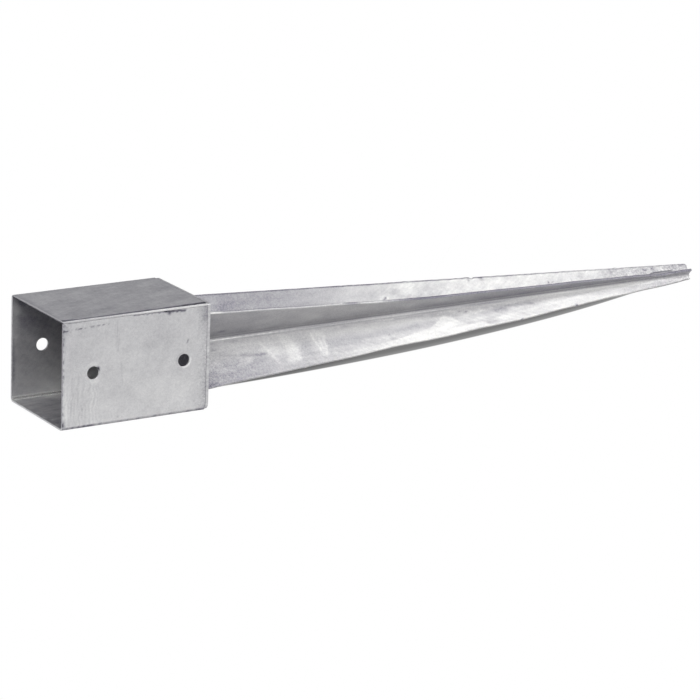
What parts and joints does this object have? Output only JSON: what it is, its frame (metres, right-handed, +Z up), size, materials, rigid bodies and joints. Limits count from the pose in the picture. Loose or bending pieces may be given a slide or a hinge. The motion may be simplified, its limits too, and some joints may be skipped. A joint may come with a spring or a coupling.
{
  "type": "post spike",
  "caption": "Drive-in ground spike for a square timber post: folded sheet-steel socket with bolt holes, welded to a tapering cross-shaped spike, hot-dip galvanised.",
  "frame": {"origin": "middle of the part's outline on the ground, with the spike lying as it comes to rest on the lower edge of its base plate and the ends of its two lower fins", "axes": "+X from the socket's open end towards the tip, level with the ground, so the spike's own axis dips 4.3 degrees towards the tip; +Z up; the wall with the lapped seam faces -Y"},
  "size_m": [0.7524, 0.102, 0.1129],
  "materials": {
    "galvanised_steel": "hot-dip galvanised, dull grey and mottled, brighter on the spike"
  },
  "bodies": {
    "root": {"socket_sleeve": "galvanised_steel", "base_plate": "galvanised_steel", "front_angle": "galvanised_steel", "back_angle": "galvanised_steel", "root_welds": "galvanised_steel", "spine_welds": "galvanised_steel", "seam_welds": "galvanised_steel"}
  },
  "joints": []
}
